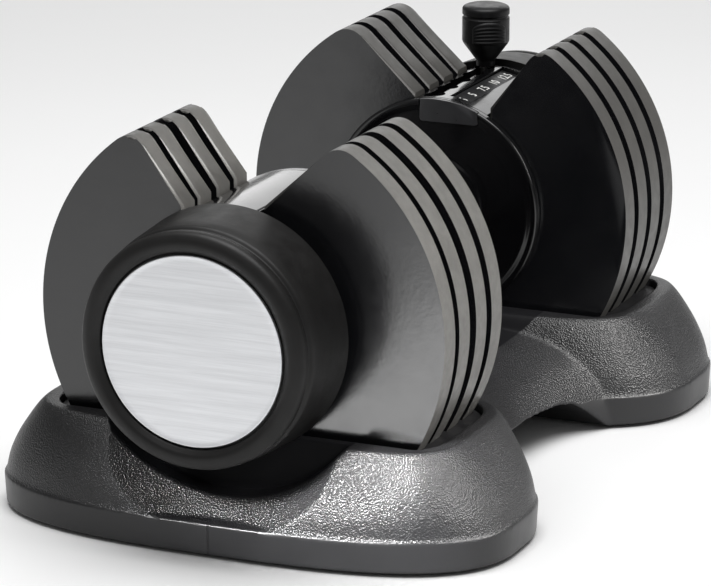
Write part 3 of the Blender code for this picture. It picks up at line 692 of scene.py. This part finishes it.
def build_caps():
    for turned, side in HEADS:
        node = f"end_cap_{side}"
        a, b = along(node)
        outer = [(a, 45.0, 0.6), (a, 46.2, 0.8), (b - 12.0, 44.8, 2.0), (b - 8.6, 44.2, 1.0)]
        outer += [(b - 7.6, 42.8, 0.8), (b - 6.6, 42.8, 0.8), (b - 5.0, 43.8, 1.6), (b - 1.6, 43.6, 2.4)]
        outer += [(b, 40.6, 1.8), (b, 38.4, 1.2), (b - 1.8, 36.1, 1.0), (b - 2.9, 35.8, 0.2)]
        inner = [(b - 2.9, 6.0), (b - 6.4, 6.0), (b - 6.4, 2.9), (136.3, 2.9)]
        inner += [(136.3, 7.0), (b - 9.0, 7.0), (b - 9.0, 40.4), (a, 43.0)]
        cap = lathe(f"cap_{side}", rounded(outer + inner, 0.2, 5), "x", 192)
        if not turned:
            low = (a - 2.0, COVER_LOW - 0.4, span("gate_cover", 2)[0] - AXIS_Z - 0.4)
            high = (along("gate_cover")[1] + 0.4, COVER_HIGH + 0.4, ABOVE_ALL)
            combine(cap, [box("notch", low, high)])
        settle(shade(cap), node, turned)
        node = f"end_badge_{side}"
        low, high = along(node)
        face = high - 0.25
        corners = [(low, 0.0, 0.0), (low, BADGE_RADIUS, 0.1), (high, BADGE_RADIUS, 0.5)]
        corners += [(face, BADGE_RADIUS - 1.6, 0.8), (face, 0.0, 0.0)]
        settle(shade(lathe(f"badge_{side}", rounded(corners, 0.3, 4), "x", 160)), node, turned)


def build_grip():
    """Rubber sleeve with ringed grooves and fine ribs between them."""
    node = "grip_sleeve"
    low, high = span(node, 0)
    outer = SLEEVE_OUTER
    corners = [(low, SLEEVE_INNER, 0.1), (low, outer - 0.6, 0.5)]
    for k in range(5):
        middle = -48.0 + k * 24.0
        corners += [(middle - 1.9, outer, 0.6), (middle - 1.0, outer - 1.0, 0.5)]
        corners += [(middle + 1.0, outer - 1.0, 0.5), (middle + 1.9, outer, 0.6)]
        for rib in range(1, 6):
            station = middle + 2.4 + rib * 3.2
            if station < high - 3.0 and k < 4:
                corners += [(station - 0.5, outer - 0.1, 0.2), (station, outer - 0.45, 0.3)]
                corners += [(station + 0.5, outer - 0.1, 0.2)]
    corners += [(high, outer - 0.6, 0.5), (high, SLEEVE_INNER, 0.1)]
    settle(shade(lathe("grip", rounded(corners, 0.3, 3), "x", 128)), node)


# ---------------------------------------------------------------- selector knob

PAD_LOW = 10.6
PAD_SHOULDER = 16.2
PAD_ARCH = 3.6
PAD_HALF_ANGLE = 42.0
PAD_RIBS = 5


def build_knob():
    node = "selector_knob"
    low, high = (value - AXIS_Z for value in span(node, 2))
    r = (span(node, 1)[1] - span(node, 1)[0]) / 2.0
    top = high - low
    corners = [(0.0, 2.6, 0.1), (0.0, 3.9, 0.3), (2.6, 3.9, 0.8), (3.4, 4.6, 0.8), (9.6, r - 0.5, 1.2)]
    corners += [(10.6, r, 1.2), (top - 5.3, r, 0.3), (top - 4.9, r - 0.6, 0.2), (top - 4.3, r - 0.6, 0.2)]
    corners += [(top - 3.9, r, 0.3), (top - 0.9, r, 1.2), (top, r - 2.4, 2.0), (top, 0.0, 0.0)]
    corners += [(20.1, 0.0, 0.0), (20.1, 2.6, 0.1)]
    profile = [(low + station, radius) for station, radius in rounded(corners, 0.3, 4)]
    settle(shade(lathe("knob", profile, "z", 96, (KNOB_X, SLOT_Y, 0.0))), node)
    for label, face in (("front", 211.5), ("back", 31.5)):
        build_thumb_pad(f"thumb_pad_{label}", f"knob_thumb_pad_{label}", face, low, r)


def build_thumb_pad(name, node, face, base, radius):
    """Arched pad wrapped on the knob wall, with rounded ribs across it."""
    columns, rows = 24, 60
    bottom = base + PAD_LOW
    bm = bmesh.new()
    front, back = [], []
    for i in range(rows + 1):
        for lines in (front, back):
            lines.append([])
        for j in range(columns + 1):
            u = -1.0 + 2.0 * j / columns
            arch = base + PAD_SHOULDER + PAD_ARCH * math.sqrt(max(0.0, 1.0 - 0.98 * u * u))
            v = i / rows
            edge = min(1.0, 8.0 * (1.0 - abs(u)), 10.0 * v, 10.0 * (1.0 - v))
            across = min(1.0, max(0.0, (0.86 - abs(u)) * 8.0))
            wave = 0.5 - 0.5 * math.cos(2.0 * math.pi * PAD_RIBS * min(1.0, v / 0.82))
            swell = 0.45 * math.sin(0.5 * math.pi * max(0.0, edge))
            relief = 0.35 + swell + 0.28 * wave * across
            angle = math.radians(face + PAD_HALF_ANGLE * u)
            height = bottom + (arch - bottom) * v
            for lines, reach in ((front, radius + 0.15 + relief), (back, radius + 0.15)):
                x = KNOB_X + reach * math.cos(angle)
                y = SLOT_Y + reach * math.sin(angle)
                lines[-1].append(bm.verts.new((x, y, height)))
    for i in range(rows):
        for j in range(columns):
            bm.faces.new((front[i][j], front[i][j + 1], front[i + 1][j + 1], front[i + 1][j]))
            bm.faces.new((back[i][j], back[i + 1][j], back[i + 1][j + 1], back[i][j + 1]))
        for j in (0, columns):
            bm.faces.new((front[i][j], front[i + 1][j], back[i + 1][j], back[i][j]))
    for j in range(columns):
        for i in (0, rows):
            bm.faces.new((front[i][j], back[i][j], back[i][j + 1], front[i][j + 1]))
    settle(shade(new_item(name, bm)), node)


# ---------------------------------------------------------------- cradle

# height, half length toward the end, half length toward the middle, half width, exponent
PEDESTAL_LEVELS = [
    (1.2, 51.6, 56.0, 101.0, 2.8),
    (12.8, 52.2, 56.6, 101.6, 2.8),
    (13.3, 51.4, 55.8, 100.8, 2.8),
    (20.5, 50.2, 54.8, 98.6, 2.95),
    (28.0, 47.6, 53.0, 94.6, 3.2),
    (34.5, 44.0, 50.6, 90.0, 3.55),
    (39.6, 40.2, 48.0, 86.0, 3.95),
    (42.2, 38.0, 46.2, 83.4, 4.2),
    (43.0, 36.6, 45.0, 82.0, 4.4),
]
WALL = 3.0
PEDESTAL_X = 98.0
CAP_SPAN = (128.0, 175.0)
FLANGE_SPAN = (40.0, 63.0)
FLANGE_RECESS = 46.5
RACK_SPAN = (62.6, 124.6)
RACK_LEVEL = (0.0, 36.2, 45.7, 79.0, 4.4)
RACK_FLOOR = 31.0
WAIST_REACH = 62.0
WAIST_HALF = 64.0
WAIST_TOP = 35.5
MOUTH_START = 136.8
MOUTH_END = 158.0
MOUTH_SLOPE = 0.95


def eased_levels(levels, per_step=4):
    """Levels with smooth ones in between, so that the flank has no creases above the step."""
    made = list(levels[:2])
    for i in range(2, len(levels) - 1):
        before = levels[max(2, i - 1)]
        start, end = levels[i], levels[i + 1]
        after = levels[min(len(levels) - 1, i + 2)]
        for k in range(per_step):
            t = k / per_step
            row = []
            for p, a, b, n in zip(before, start, end, after):
                bend = 2.0 * a + (b - p) * t + (2.0 * p - 5.0 * a + 4.0 * b - n) * t * t
                row.append(0.5 * (bend + (3.0 * a - p - 3.0 * b + n) * t ** 3))
            made.append(tuple(row))
    return made + [levels[-1]]


def oval(level, inset, segments):
    """Plan of a pedestal at one level, as a superellipse that is longer toward the middle."""
    _, out, back, wide, power = level
    middle = PEDESTAL_X
    points = []
    for k in range(segments):
        turn = 2.0 * math.pi * (k + 0.5) / segments
        c, s = math.cos(turn), math.sin(turn)
        reach = (out if c > 0 else back) - inset
        x = middle + reach * math.copysign(abs(c) ** (2.0 / power), c)
        points.append((x, (wide - inset) * math.copysign(abs(s) ** (2.0 / power), s)))
    return points


def loft(name, rings):
    bm = bmesh.new()
    loops = [[bm.verts.new(point) for point in ring] for ring in rings]
    count = len(loops[0])
    bm.faces.new(list(reversed(loops[0])))
    bm.faces.new(loops[-1])
    for low, high in zip(loops, loops[1:]):
        for i in range(count):
            j = (i + 1) % count
            bm.faces.new((low[i], low[j], high[j], high[i]))
    return new_item(name, bm)


def pedestal(name, levels, inset, segments, turned):
    rings = []
    for level in levels:
        rings.append([(x, y, level[0]) for x, y in oval(level, inset, segments)])
    item = loft(name, rings)
    item.data.transform(Matrix.Rotation(math.pi if turned else 0.0, 4, "Z"))
    return item


def waist(name, inset, count, turns):
    """Bridge between the pedestals, narrowest and lowest in the middle."""
    rings = []
    for k in range(count + 1):
        x = -WAIST_REACH + 2.0 * WAIST_REACH * k / count
        far = abs(x) / WAIST_REACH
        wide = WAIST_HALF + 20.0 * far ** 2.0 - inset
        top = WAIST_TOP + 3.0 * far ** 2.0 - inset
        foot = -5.0 if inset else 1.2
        ring = []
        for i in range(turns + 1):
            turn = math.radians(84.0 * i / turns)
            across = 0.36 + 0.64 * math.cos(turn) ** 0.8
            ring.append((x, wide * across, foot + (top - foot) * math.sin(turn) ** 0.9))
        ring.append((x, wide * 0.36, top))
        rings.append(ring + [(px, -py, pz) for px, py, pz in reversed(ring)])
    return loft(name, rings)


def arch(name, gap=0.0):
    """Opening under the bridge, grown by a gap where it has to leave a wall."""
    half = [(56.0 + gap, -10.0), (54.0 + gap, 1.0), (45.0 + gap, 9.0 + gap * 0.7)]
    half += [(39.0 + gap * 0.5, 13.4 + gap), (30.0, 15.0 + gap)]
    return prism(name, half + [(-x, z) for x, z in reversed(half)], "y", -120.0, 120.0)


def bell_mouth(name, sign, wall=0.0):
    """Flare where the recess under a cap runs out over the end of its pedestal, above the step."""
    start, end = MOUTH_START - wall, MOUTH_END
    grown = wall * math.hypot(1.0, MOUTH_SLOPE)
    radii = [CAP_RECESS + grown + MOUTH_SLOPE * (x - MOUTH_START) for x in (start, end)]
    profile = [(start * sign, 0.0), (start * sign, radii[0]), (end * sign, radii[1]), (end * sign, 0.0)]
    flare = lathe(name, profile, "x", 192, (0.0, 0.0, AXIS_Z))
    above = box("above", (-170.0, -100.0, STEP_Z - wall), (170.0, 100.0, ABOVE_ALL))
    return combine(flare, [above], "INTERSECT")


def recess(name, start, end, radius, sign, segments):
    """Solid disc about the bar axis, in the pedestal on one side."""
    profile = [(start * sign, 0.0), (start * sign, radius), (end * sign, radius), (end * sign, 0.0)]
    return lathe(name, profile, "x", segments, (0.0, 0.0, AXIS_Z))


def build_cradle():
    """Two pedestals and their bridge, hollowed and cut, then remeshed so that every edge is soft."""
    shell = pedestal("cradle", eased_levels(PEDESTAL_LEVELS), 0.0, 160, False)
    join = [pedestal("other", eased_levels(PEDESTAL_LEVELS), 0.0, 160, True), waist("bridge", 0.0, 40, 20)]
    combine(shell, join, "UNION")
    cuts = [arch("arch")]
    hollow_levels = [(-5.0, *PEDESTAL_LEVELS[0][1:]), (9.0, *PEDESTAL_LEVELS[0][1:])]
    hollow_levels += [(h if h < 34.0 else h - WALL, *rest) for h, *rest in PEDESTAL_LEVELS[3:7]]
    cavities = [waist("hollow", WALL, 16, 8)]
    for turned, side in HEADS:
        sign = -1.0 if turned else 1.0
        cavity = pedestal(f"cavity_{side}", hollow_levels, WALL, 64, turned)
        thick = []
        for (low, high), radius in ((CAP_SPAN, CAP_RECESS), (FLANGE_SPAN, FLANGE_RECESS)):
            start = low - WALL if low > PEDESTAL_X else low
            thick.append(recess("thick", start, high, radius + WALL, sign, 128))
            cuts.append(recess("recess", low, high, radius, sign, 160))
        thick.append(bell_mouth("thick_mouth", sign, WALL))
        cuts.append(bell_mouth("mouth", sign))
        combine(cavity, thick)
        cavities.append(cavity)
        plan = [(max(RACK_SPAN[0], min(x, RACK_SPAN[1])), y) for x, y in oval(RACK_LEVEL, 2.0, 96)]
        if turned:
            plan = [(-x, -y) for x, y in plan]
        cuts.append(prism("opening", plan, "z", RACK_FLOOR, ABOVE_ALL))
    roof = arch("roof", WALL)
    for cavity in cavities:
        combine(cavity, [roof], keep=True)
    bpy.data.objects.remove(roof)
    combine(shell, cuts + cavities)
    grid = shell.modifiers.new("grid", "REMESH")
    grid.mode = "VOXEL"
    grid.voxel_size = 0.75
    relax = shell.modifiers.new("relax", "SMOOTH")
    relax.factor = 0.5
    relax.iterations = 5
    lighter = shell.modifiers.new("lighter", "DECIMATE")
    lighter.ratio = 0.3
    apply_modifiers(shell)
    for face in shell.data.polygons:
        face.use_smooth = True
    settle(shell, "cradle_shell", on_floor=True)


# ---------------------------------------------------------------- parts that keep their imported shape

def finish_packed_nodes():
    """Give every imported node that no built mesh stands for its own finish."""
    for name, item in frame["nodes"].items():
        if item.hide_render:
            continue
        item.data.materials.clear()
        item.data.materials.append(FINISH[SLOT_OF[name]])


# ---------------------------------------------------------------- studio

WHITE = (1.0, 1.0, 1.0)
WARM = (1.0, 0.985, 0.965)

# name, place, target, size, power, colour
LIGHTS = [
    ("top_softbox", (-0.15, -0.1, 1.3), (0.0, 0.0, 0.05), (1.2, 1.0), 18.5, WHITE),
    ("back_softbox", (2.0, 0.5, 0.75), (0.0, 0.0, 0.1), (1.8, 0.9), 8.0, WHITE),
    ("near_softbox", (-0.28, -0.51, 0.43), (-0.12, -0.06, 0.05), (0.26, 0.2), 6.0, WARM),
    ("far_softbox", (0.04, -0.75, 0.36), (0.07, -0.08, 0.04), (0.24, 0.2), 6.0, WARM),
    ("pedestal_light", (-0.6, 0.1, 0.42), (-0.16, -0.1, 0.03), (0.14, 0.14), 0.8, WHITE),
    ("plate_card", (-0.43, -0.06, 0.012), (-0.43, -0.06, 0.5), (0.46, 0.2), 0.8, WHITE),
    ("rim_card", (0.1, -0.75, 0.62), (-0.05, -0.05, 0.1), (0.5, 0.3), 12.0, WARM),
]

# how the names start of the pieces that a light reaches; a light left out reaches everything
RECEIVERS = {
    "near_softbox": ("cradle", "plate_"),
    "far_softbox": ("cradle", "plate_"),
    "pedestal_light": ("cradle",),
    "plate_card": ("plate_far", "plate_near"),
    "rim_card": ("plate_near",),
}


def area_light(name, at, target, size, power, colour):
    """Rectangular soft light aimed at a target."""
    light = bpy.data.lights.new(name, "AREA")
    light.shape = "RECTANGLE"
    light.size, light.size_y = size
    light.energy = power
    light.color = colour
    item = bpy.data.objects.new(name, light)
    item.location = at
    item.rotation_euler = (Vector(target) - Vector(at)).to_track_quat("-Z", "Y").to_euler()
    bpy.context.scene.collection.objects.link(item)


def light_only(light, prefixes):
    """Let a light reach only the pieces whose names start with one of the prefixes."""
    lit = bpy.data.collections.new(light.name + "_receivers")
    for item in bpy.data.objects:
        if item.name.startswith(prefixes):
            lit.objects.link(item)
    light.light_linking.receiver_collection = lit


def build_studio():
    """White paper floor, even white surroundings, soft lights and cards."""
    bm = bmesh.new()
    bmesh.ops.create_grid(bm, x_segments=1, y_segments=1, size=9.0)
    floor = new_item("floor", bm)
    paper = Finish("floor_paper", 0.7, specular=0.2)
    paper.colour(mottled(paper, (0.93, 0.93, 0.93), 0.008, 400.0))
    paper.bump(paper.noise(1.2, 2.0), 0.02, 0.2)
    floor.data.materials.append(paper.material)
    world = bpy.data.worlds.new("studio")
    world.use_nodes = True
    background = world.node_tree.nodes["Background"]
    background.inputs["Color"].default_value = (*WHITE, 1.0)
    background.inputs["Strength"].default_value = 0.25
    bpy.context.scene.world = world
    for values in LIGHTS:
        area_light(*values)
    for name, prefixes in RECEIVERS.items():
        light_only(bpy.data.objects[name], prefixes)
    bpy.data.lights["pedestal_light"].spread = math.radians(19.0)
    bpy.context.scene.view_settings.view_transform = "Standard"
    bpy.context.scene.view_settings.look = "None"


def build_camera():
    camera = bpy.data.objects.new("camera", bpy.data.cameras.new("camera"))
    bpy.context.scene.collection.objects.link(camera)
    camera.data.sensor_width = 36.0
    camera.data.lens = CAMERA_LENS
    camera.data.clip_start = 0.1
    camera.data.clip_end = 60.0
    camera.location = CAMERA_AT
    camera.rotation_euler = (Vector(CAMERA_AIM) - Vector(CAMERA_AT)).to_track_quat("-Z", "Y").to_euler()
    bpy.context.scene.camera = camera


build_plates()
build_flanges()
build_covers()
build_scale()
build_caps()
build_grip()
build_knob()
build_cradle()
finish_packed_nodes()
build_studio()
build_camera()
